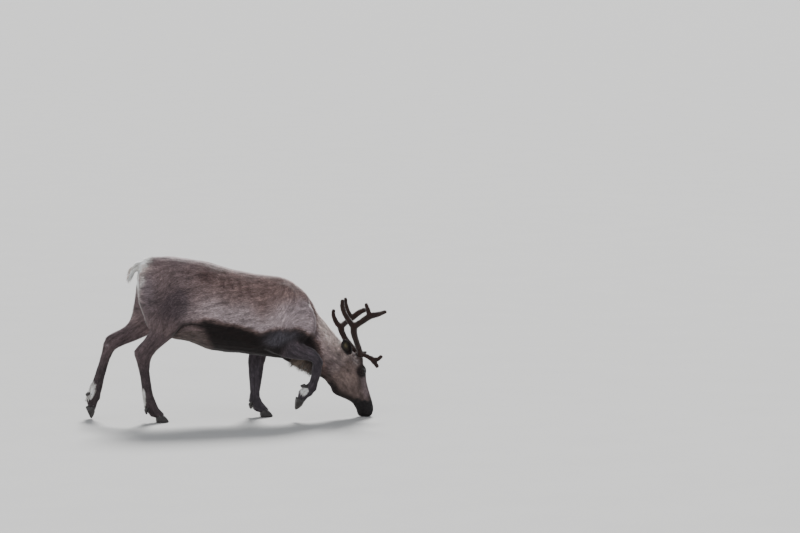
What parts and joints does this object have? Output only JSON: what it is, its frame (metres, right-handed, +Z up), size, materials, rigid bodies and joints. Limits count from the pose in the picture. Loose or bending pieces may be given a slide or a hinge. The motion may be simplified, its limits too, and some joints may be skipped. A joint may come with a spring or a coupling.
{
  "type": "reindeer",
  "caption": "Life-size still model of a grazing reindeer, walking with one forefoot lifted and its muzzle at the ground, with forked velvet antlers, cupped ears and a short white tail.",
  "frame": {"origin": "middle of the bounding box, on the floor", "axes": "+X from tail to head, +Y to the animal's left, +Z up"},
  "size_m": [1.8568, 0.4246, 1.0208],
  "materials": {
    "coat": "short dense grey-brown hair",
    "dark_coat": "short near-black brown hair",
    "white_hair": "soft white hair",
    "velvet": "dark furry antler skin",
    "claw": "dark horn, satin",
    "eye": "wet gloss",
    "nose": "dark short-haired muzzle skin"
  },
  "bodies": {
    "root": {"antler_left_beam": "velvet", "antler_left_brow": "velvet", "antler_left_front": "velvet", "antler_left_rear": "velvet", "antler_right_beam": "velvet", "antler_right_brow": "velvet", "antler_right_front": "velvet", "antler_right_rear": "velvet", "ear_left": "coat", "ear_right": "coat", "eye_left": "eye", "eye_right": "eye", "fore_left_cannon": "dark_coat", "fore_left_claw_left": "claw", "fore_left_claw_right": "claw", "fore_left_dewclaw_left": "claw", "fore_left_dewclaw_right": "claw", "fore_left_foot": "dark_coat", "fore_left_forearm": "dark_coat", "fore_right_cannon": "dark_coat", "fore_right_claw_left": "claw", "fore_right_claw_right": "claw", "fore_right_dewclaw_left": "claw", "fore_right_dewclaw_right": "claw", "fore_right_foot": "dark_coat", "fore_right_forearm": "dark_coat", "head": "dark_coat", "hind_left_cannon": "dark_coat", "hind_left_claw_left": "claw", "hind_left_claw_right": "claw", "hind_left_dewclaw_left": "claw", "hind_left_dewclaw_right": "claw", "hind_left_foot": "dark_coat", "hind_left_shank": "coat", "hind_left_thigh": "coat", "hind_right_cannon": "dark_coat", "hind_right_claw_left": "claw", "hind_right_claw_right": "claw", "hind_right_dewclaw_left": "claw", "hind_right_dewclaw_right": "claw", "hind_right_foot": "dark_coat", "hind_right_shank": "coat", "hind_right_thigh": "coat", "neck": "coat", "tail": "white_hair", "torso": "coat"}
  },
  "joints": []
}
